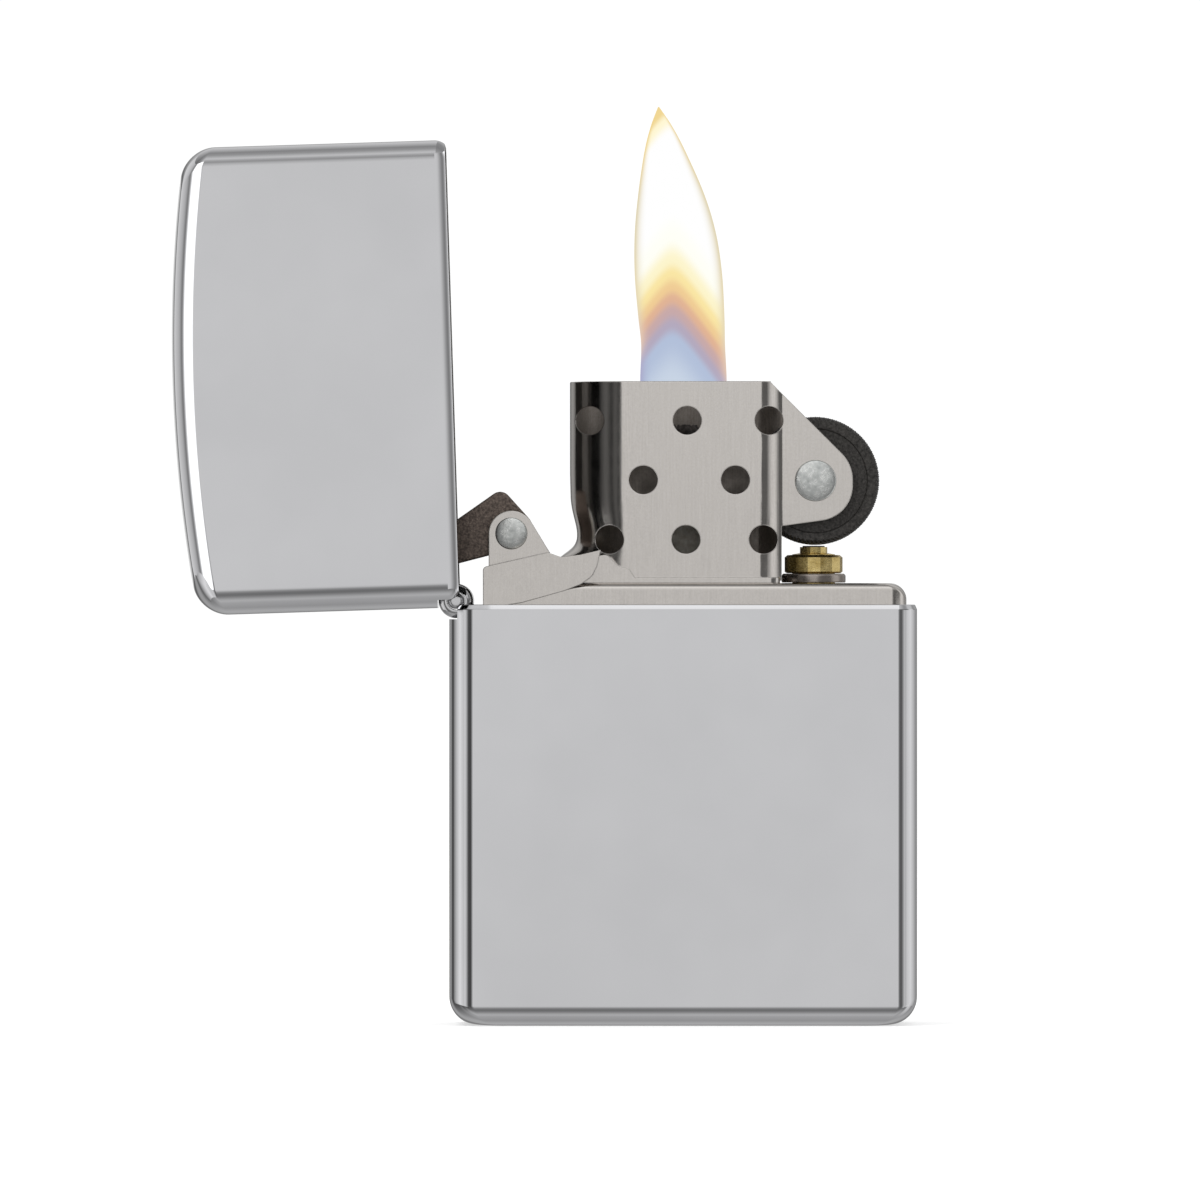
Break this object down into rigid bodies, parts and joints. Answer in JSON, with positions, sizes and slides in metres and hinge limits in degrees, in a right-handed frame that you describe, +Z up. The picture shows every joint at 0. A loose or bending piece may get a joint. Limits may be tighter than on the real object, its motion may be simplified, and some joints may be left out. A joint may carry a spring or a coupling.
{
  "type": "flip-top petrol lighter",
  "caption": "Flip-top windproof petrol lighter with its hinged lid open: chromed case and lid, lift-out insert, vented windscreen, flint wheel and cam lever.",
  "frame": {"origin": "centre of the case's flat bottom, which it stands on", "axes": "+X along the width, away from the lid hinge; +Y from the front to the back; +Z up, out of the case's mouth"},
  "size_m": [0.0609, 0.0126, 0.0721],
  "materials": {
    "chrome": "polished",
    "steel": "satin, fine brushing",
    "hinge_steel": "plated",
    "rivet_steel": "matt, tumbled",
    "wheel_steel": "hardened, blackened, knurled",
    "cam_steel": "blackened, speckled",
    "brass": "turned",
    "flint_alloy": "matt",
    "cotton": "loose wadding",
    "wick_cotton": "braided cord",
    "felt": "pressed felt"
  },
  "bodies": {
    "case": {"case_body": "chrome", "case_hinge_leaf": "hinge_steel", "hinge_pin": "hinge_steel"},
    "lid": {"case_lid": "chrome", "lid_hinge_leaf": "hinge_steel"},
    "insert": {"insert_case": "steel", "windscreen": "steel", "cam_bracket": "steel", "cam_rivet": "rivet_steel", "cam_spring": "steel", "cam_spring_rivet": "rivet_steel", "wheel_rivet": "rivet_steel", "flint_tube": "brass", "tube_collar": "brass", "tube_flange": "steel", "flint": "flint_alloy", "wick": "wick_cotton", "cotton_ball_1": "cotton", "cotton_ball_2": "cotton", "cotton_ball_3": "cotton", "cotton_ball_4": "cotton", "cotton_ball_5": "cotton", "felt_pad": "felt"},
    "cam": {"cam": "cam_steel"},
    "flint_wheel": {"flint_wheel": "wheel_steel"},
    "flint_screw": {"flint_screw": "brass", "flint_spring": "steel", "flint_plunger": "brass"}
  },
  "joints": [
    {"name": "lid_hinge", "type": "hinge", "parent": "case", "child": "lid", "pos_m": [-0.0185, 0, 0.0346], "axis": [0, 1, 0], "range_deg": [-15, 91.8]},
    {"name": "insert_slide", "type": "slide", "parent": "case", "child": "insert", "axis": [0, 0, 1], "range_m": [0, 0.06]},
    {"name": "cam_pivot", "type": "hinge", "parent": "insert", "child": "cam", "pos_m": [-0.014, 0, 0.0401], "axis": [0, 1, 0], "range_deg": [-12.1, 73.6]},
    {"name": "wheel_spin", "type": "hinge", "parent": "insert", "child": "flint_wheel", "pos_m": [0.0108, 0, 0.0444], "axis": [0, 1, 0], "continuous": true},
    {"name": "screw_turn", "type": "hinge", "parent": "insert", "child": "flint_screw", "pos_m": [0.0107, 0, 0.001], "axis": [0, 0, 1], "continuous": true}
  ],
  "couplings": [
    {"joint": "cam_pivot", "follows": "lid_hinge", "ratio": 0.8}
  ]
}
